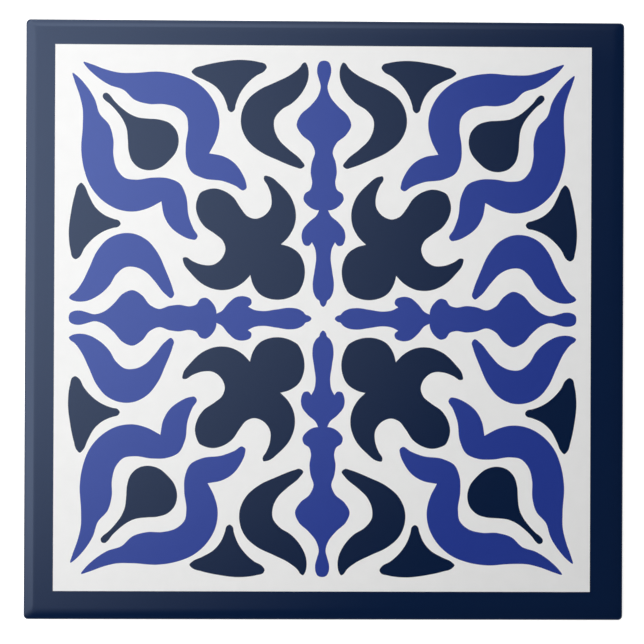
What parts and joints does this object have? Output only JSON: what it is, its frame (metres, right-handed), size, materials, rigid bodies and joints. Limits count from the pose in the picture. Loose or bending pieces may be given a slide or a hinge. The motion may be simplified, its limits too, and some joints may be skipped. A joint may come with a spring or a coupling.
{
  "type": "ceramic wall tile",
  "caption": "Square glazed ceramic wall tile with a cushion edge, a keyed back and a blue and white four-fold ornament under the glaze.",
  "frame": {"origin": "middle of the back, on the plane of the flat ribs that the tile rests and is bedded on", "axes": "+Z out of the glazed face, X and Y along the sides of the square, +Y towards the top of the printed ornament"},
  "size_m": [0.108, 0.108, 0.006],
  "materials": {
    "glazed_tile": "gloss"
  },
  "bodies": {
    "root": {"ceramic_tile": "glazed_tile"}
  },
  "joints": []
}
